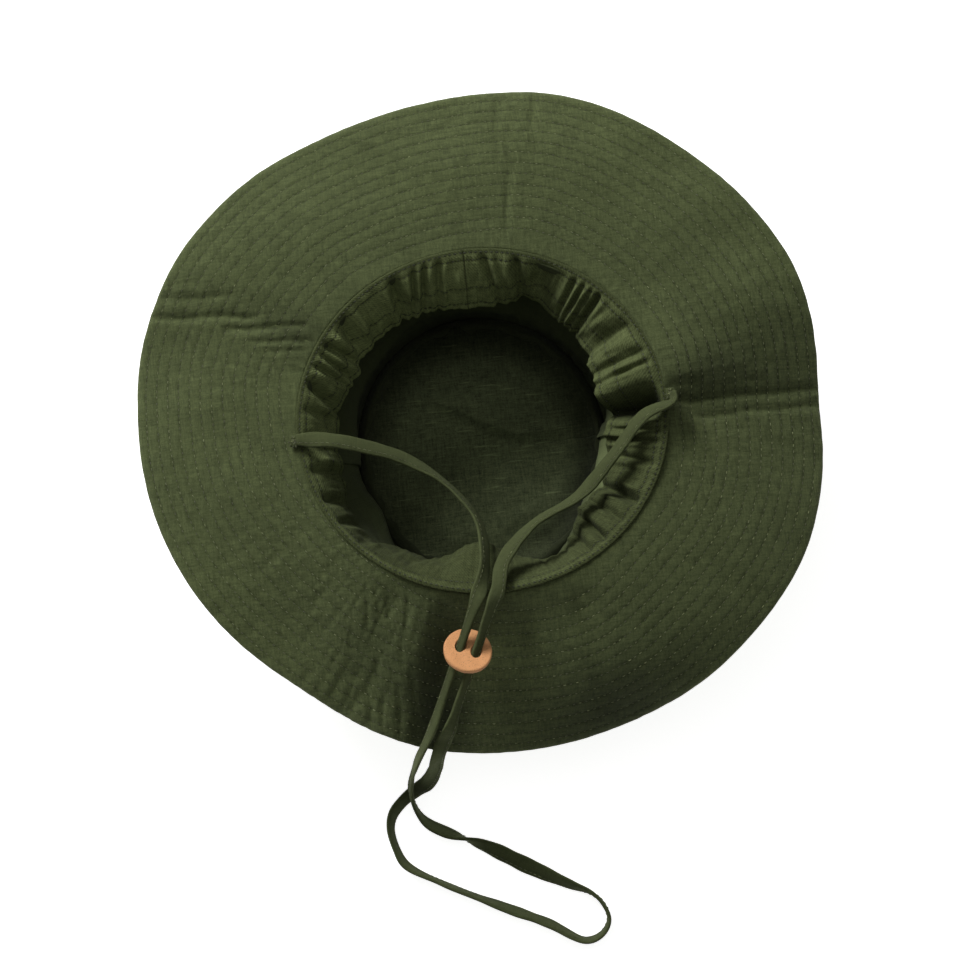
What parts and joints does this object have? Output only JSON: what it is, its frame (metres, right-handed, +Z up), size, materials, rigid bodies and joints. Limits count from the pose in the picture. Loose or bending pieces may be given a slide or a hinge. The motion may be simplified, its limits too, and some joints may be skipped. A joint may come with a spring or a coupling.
{
  "type": "boonie hat",
  "caption": "Soft hat with a wide quilted brim, a gathered sweatband and a looped chin strap that runs through a leather slider, lying on its crown.",
  "frame": {"origin": "middle of the crown tip's outer face, on the surface that the hat lies on", "axes": "+Z up out of the head opening, +X to the hat's right-hand side as seen from its front, +Y to the hat's back"},
  "size_m": [0.3587, 0.4477, 0.0959],
  "materials": {
    "ripstop": "olive drab plain-weave cotton blend, matt",
    "seam": "the same cloth, raw and overlocked at its edge",
    "interlining": "woven stiffening, hidden between the plies",
    "twill": "olive drab twill, gathered",
    "elastic": "knitted elastic tape",
    "webbing": "ribbed cotton webbing",
    "strap": "folded and edge-stitched self fabric",
    "leather": "natural tan leather, cut edges raw",
    "eyelet_metal": "dull dark green paint"
  },
  "bodies": {
    "hat": {"crown_tip": "ripstop", "crown_side_front": "ripstop", "crown_side_back": "ripstop", "crown_tip_seam": "seam", "crown_side_seam_left": "seam", "crown_side_seam_right": "seam", "brim_inner_face": "ripstop", "brim_interlining": "interlining", "brim_outer_face": "ripstop", "sweatband": "twill", "sweatband_elastic": "elastic", "branch_loop_band": "webbing", "chin_strap": "strap", "strap_anchor_left": "strap", "strap_anchor_right": "strap", "vent_eyelet_right_front": "eyelet_metal", "vent_washer_right_front": "eyelet_metal", "vent_eyelet_right_back": "eyelet_metal", "vent_washer_right_back": "eyelet_metal", "vent_eyelet_left_back": "eyelet_metal", "vent_washer_left_back": "eyelet_metal", "vent_eyelet_left_front": "eyelet_metal", "vent_washer_left_front": "eyelet_metal"},
    "strap_slider": {"slider": "leather"}
  },
  "joints": [
    {"name": "slider_slide", "type": "slide", "parent": "hat", "child": "strap_slider", "axis": [-0.4119, -0.8446, -0.342], "range_m": [-0.01, 0.025]}
  ]
}
